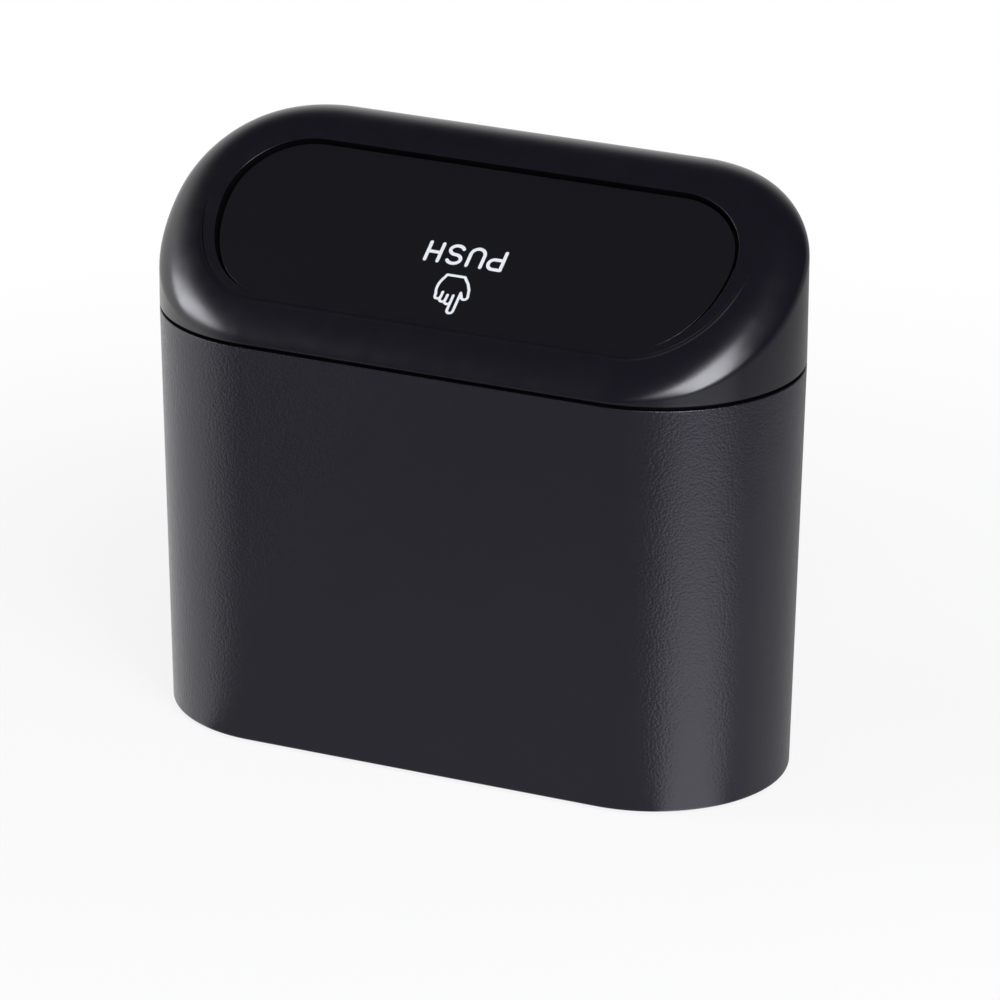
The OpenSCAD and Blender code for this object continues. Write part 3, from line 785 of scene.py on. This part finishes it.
def dress_cad_nodes():
    """Materials for the small solids that are shown as they come from the frame."""
    steel_nodes = ["hinge_rod", "rod_clip_left", "rod_clip_right"]
    steel_nodes += [f"hinge_screw_{i}" for i in range(1, 5)]
    for node in ["hinge_bar"] + steel_nodes:
        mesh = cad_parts[node].data
        mesh.materials.clear()
        mesh.materials.append(INNER if node == "hinge_bar" else STEEL)


# Studio

# In metres, with azimuths from +X, and a brightness of 1 for white. LEFT_END and RIGHT_END are
# points of the floor under the object's ends.
WHITE_SIDE = math.radians(158)
LAMP_SIDE = math.radians(-32)
SHADE_SIDE = math.radians(62)
WORLD_GREY = 0.2
FLOOR_SIZE = 4
LEFT_END = (-0.07, -0.035, 0)
RIGHT_END = (0.068, -0.023, 0)

# Name, azimuth, elevation, distance, width, height, lean and brightness, angles in degrees
LAMPS = (
    ("right_box", -45, 32, 1.15, 0.5, 1.0, 24, 6.3),
    ("right_fill", -44, 31, 1.3, 0.8, 1.55, 38, 1.4),
    ("left_box", -161.5, 35.5, 1.2, 0.26, 0.56, -36, 6.8),
)
LAMP_AIM_Z = 0.09
LAMP_COLOUR = (0.96, 0.97, 1.04)


def ramp(tree, value, start, end, low, high):
    """A smooth step from low at start to high at end."""
    inputs = {"Value": value, "From Min": start, "From Max": end, "To Min": low, "To Max": high}
    return add(tree, "MapRange", inputs, interpolation_type="SMOOTHSTEP").outputs["Result"]


def sideways(tree, direction, azimuth):
    """How far a direction turns towards an azimuth, from -1 to 1."""
    inputs = {0: direction, 1: (math.cos(azimuth), math.sin(azimuth), 0)}
    return add(tree, "VectorMath", inputs, operation="DOT_PRODUCT").outputs["Value"]


def outward(tree, place, centre):
    """Direction away from a point of the floor."""
    offset = add(tree, "VectorMath", {0: place, 1: centre}, operation="SUBTRACT")
    inputs = {0: offset.outputs["Vector"]}
    return add(tree, "VectorMath", inputs, operation="NORMALIZE").outputs["Vector"]


def choose(tree, factor, low, high):
    """Low where the factor is 0 and high where it is 1."""
    inputs = {"Factor": factor, "A": low, "B": high}
    return add(tree, "Mix", inputs, data_type="FLOAT").outputs["Result"]


def mirrored_rays(tree, path):
    """1 for rays that a glossy surface or glass sends on."""
    return calculate(tree, "MAXIMUM", path.outputs["Is Glossy Ray"],
                     path.outputs["Is Transmission Ray"])


def set_world():
    """White for the camera. Plain grey lights the object, and its gloss shows white behind."""
    world = bpy.data.worlds.new("studio")
    bpy.context.scene.world = world
    world.use_nodes = True
    tree = world.node_tree
    background = tree.nodes["Background"]
    place = add(tree, "TexCoord").outputs["Generated"]
    height = add(tree, "SeparateXYZ", {"Vector": place}).outputs["Z"]
    behind = ramp(tree, sideways(tree, place, WHITE_SIDE), 0, 0.75, 0, 1)
    low_down = ramp(tree, height, 0.38, 0.82, 1, 0)
    shown = choose(tree, calculate(tree, "MULTIPLY", behind, low_down), 0.02, 0.95)
    path = add(tree, "LightPath")
    light = choose(tree, mirrored_rays(tree, path), WORLD_GREY, shown)
    strength = choose(tree, path.outputs["Is Camera Ray"], light, 1)
    tree.links.new(strength, background.inputs["Strength"])
    background.inputs["Color"].default_value = (1, 1, 1, 1)


def add_floor():
    """A white floor that keeps a faint shadow, and that glows for the gloss with painted light and
    shade: white on the far side, a pool of light on the lamp's side.
    """
    mesh = bpy.data.meshes.new("floor")
    corners = [(x * FLOOR_SIZE, y * FLOOR_SIZE, 0) for x, y in ((-1, -1), (1, -1), (1, 1), (-1, 1))]
    mesh.from_pydata(corners, [], [(0, 1, 2, 3)])
    floor = bpy.data.objects.new("floor", mesh)
    bpy.context.scene.collection.objects.link(floor)
    made, tree, shader, place = start_material("floor_white")
    tree.nodes.remove(shader)
    distance = add(tree, "VectorMath", {0: place}, operation="LENGTH").outputs["Value"]
    path = add(tree, "LightPath")
    camera_ray = path.outputs["Is Camera Ray"]

    # Sides of the floor, as they lie from under the object's left and right ends
    left, right = (outward(tree, place, end) for end in (LEFT_END, RIGHT_END))
    white_side = ramp(tree, sideways(tree, left, WHITE_SIDE), 0, 0.8, 0, 1)
    shade_side = ramp(tree, sideways(tree, right, SHADE_SIDE), 0.2, 0.85, 0, 1)
    lamp_side = ramp(tree, sideways(tree, right, LAMP_SIDE), 0.8, 0.98, 0, 1)
    faded = ramp(tree, distance, 0.35, 0.6, 1, 0)

    # What the gloss shows of it, painted light and shade of the floor's own glow: grey, white on
    # the far side, dim at the right, a pool of light on the lamp's side
    grey = ramp(tree, distance, 0.1, 0.35, 0.26, 0.17)
    painted_pool = ramp(tree, distance, 0.12, 0.4, 1.25, 0.85)
    shown = choose(tree, white_side, grey, 0.85)
    shown = choose(tree, calculate(tree, "MULTIPLY", shade_side, faded), shown, 0.42)
    shown = choose(tree, calculate(tree, "MULTIPLY", lamp_side, faded), shown, painted_pool)

    # The camera sees white, with a share of the lit floor close to the object for its shadow
    white_share = ramp(tree, distance, 0.12, 0.5, 0.85, 1)
    share = choose(tree, camera_ray, mirrored_rays(tree, path), white_share)
    lit = add(tree, "BsdfDiffuse", {"Color": (0.85, 0.85, 0.85, 1)})
    glow = add(tree, "Emission", {"Color": (1, 1, 1, 1),
                                  "Strength": choose(tree, camera_ray, shown, 1)})
    mix = add(tree, "MixShader",
              {"Fac": share, 1: lit.outputs["BSDF"], 2: glow.outputs["Emission"]})
    tree.links.new(mix.outputs["Shader"], tree.nodes["Material Output"].inputs["Surface"])
    mesh.materials.append(made)


def add_softbox(name, azimuth, elevation, distance, width, height, lean, brightness):
    """A soft rectangular lamp that faces the object."""
    lamp = bpy.data.lights.new(name, "AREA")
    lamp.shape = "RECTANGLE"
    lamp.size, lamp.size_y = width, height
    lamp.energy = brightness * math.pi * width * height
    lamp.color = LAMP_COLOUR
    made = bpy.data.objects.new(name, lamp)
    bpy.context.scene.collection.objects.link(made)
    a, e = math.radians(azimuth), math.radians(elevation)
    back = Vector((math.cos(a) * math.cos(e), math.sin(a) * math.cos(e), math.sin(e)))
    made.location = Vector((0, 0, LAMP_AIM_Z)) + back * distance
    made.rotation_mode = "QUATERNION"
    turned = Quaternion((0, 0, 1), math.radians(lean))
    made.rotation_quaternion = back.to_track_quat("Z", "Y") @ turned


# Camera, placed as the photograph's was: its focal length in widths of the picture

CAMERA_AZ = math.radians(24.777)
CAMERA_EL = math.radians(21.059)
CAMERA_ROLL = math.radians(0.336)
CAMERA_FOCAL = 6.35287
CAMERA_DISTANCE = 1874.453
CAMERA_AIM = Vector((0, 0, FOOT_Z + 80.7))
CAMERA_OFFSET = (-6.206, 8.005)
SENSOR = 36


def add_camera():
    back = Vector((math.sin(CAMERA_AZ) * math.cos(CAMERA_EL),
                   -math.cos(CAMERA_AZ) * math.cos(CAMERA_EL), math.sin(CAMERA_EL)))
    level = Vector((math.cos(CAMERA_AZ), math.sin(CAMERA_AZ), 0))
    upright = back.cross(level)
    right = level * math.cos(CAMERA_ROLL) + upright * math.sin(CAMERA_ROLL)
    up = upright * math.cos(CAMERA_ROLL) - level * math.sin(CAMERA_ROLL)
    place = CAMERA_AIM - right * CAMERA_OFFSET[0] - up * CAMERA_OFFSET[1] + back * CAMERA_DISTANCE
    lens = bpy.data.cameras.new("camera")
    lens.sensor_width = SENSOR
    lens.lens = CAMERA_FOCAL * SENSOR
    lens.clip_start, lens.clip_end = 0.1, 50
    camera = bpy.data.objects.new("camera", lens)
    bpy.context.scene.collection.objects.link(camera)
    turned = Matrix((right, up, back)).transposed().to_4x4()
    camera.matrix_world = Matrix.Translation(place * MM) @ turned
    bpy.context.scene.camera = camera


add_camera()
set_world()
add_floor()
for lamp in LAMPS:
    add_softbox(*lamp)
bpy.context.scene.view_settings.view_transform = "Standard"

build_tub()
build_pads()
build_bag_ring()
build_lid()
build_bumpers()
build_flap()
build_print()
build_spring(-1, "left")
build_spring(1, "right")
dress_cad_nodes()
